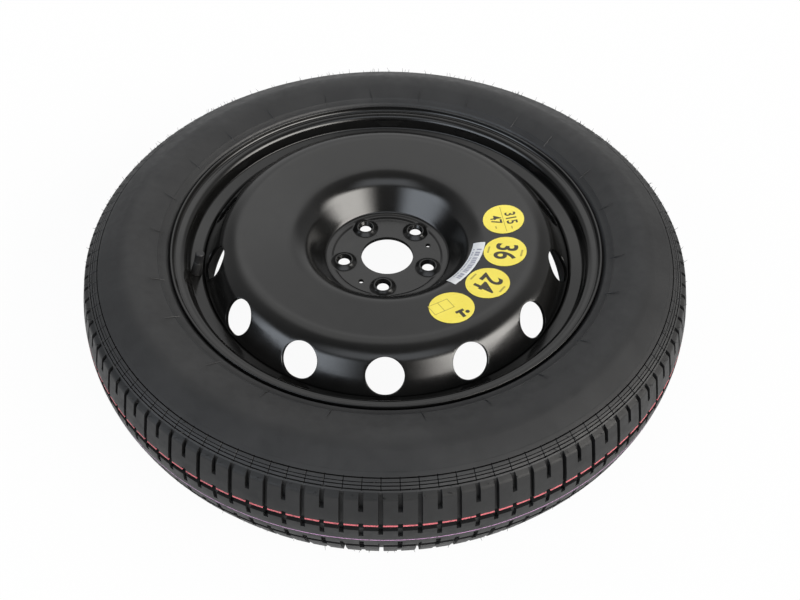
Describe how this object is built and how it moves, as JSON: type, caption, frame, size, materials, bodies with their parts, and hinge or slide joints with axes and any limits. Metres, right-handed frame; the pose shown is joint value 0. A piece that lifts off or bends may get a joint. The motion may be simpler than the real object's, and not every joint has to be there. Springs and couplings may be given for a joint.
{
  "type": "space saver spare wheel",
  "caption": "Narrow temporary spare wheel: vented pressed steel disc welded in a rolled steel rim, with a slim radial tyre, a snap-in valve and stickers.",
  "frame": {"origin": "centre of the hub bore on the mounting face at the back of the hub pad", "axes": "+Z along the wheel's axis towards the street side, with the valve near -X"},
  "size_m": [0.7288, 0.7288, 0.1544],
  "materials": {
    "tyre_rubber": "satin moulded rubber",
    "black_enamel": "semi-gloss black dip coat",
    "valve_rubber": "matt moulded rubber",
    "stem_brass": "turned brass",
    "core_steel": "drawn wire",
    "seal_rubber": "soft rubber",
    "cap_plastic": "satin moulded plastic",
    "label_yellow": "printed film",
    "label_white": "printed film"
  },
  "bodies": {
    "wheel": {"tyre": "tyre_rubber", "rim": "black_enamel", "wheel_disc": "black_enamel", "weld_runs": "black_enamel", "valve_body": "valve_rubber", "valve_stem": "stem_brass", "core_housing": "stem_brass", "core_gasket": "seal_rubber", "core_spring": "core_steel", "round_label_1": "label_yellow", "round_label_2": "label_yellow", "round_label_3": "label_yellow", "round_label_4": "label_yellow", "strip_label": "label_white"},
    "cap": {"valve_cap": "cap_plastic", "cap_seal": "seal_rubber"},
    "plunger": {"core_pin": "core_steel", "core_seal": "seal_rubber"}
  },
  "joints": [
    {"name": "cap_lift", "type": "slide", "parent": "wheel", "child": "cap", "axis": [0.3019, 0.0658, 0.9511], "range_m": [0, 0.016]},
    {"name": "core_press", "type": "slide", "parent": "wheel", "child": "plunger", "axis": [-0.3019, -0.0658, -0.9511], "range_m": [0, 0.0015], "stiffness_N_per_m": 1000, "springref_m": -0.003, "deforming": ["core_spring"]}
  ]
}
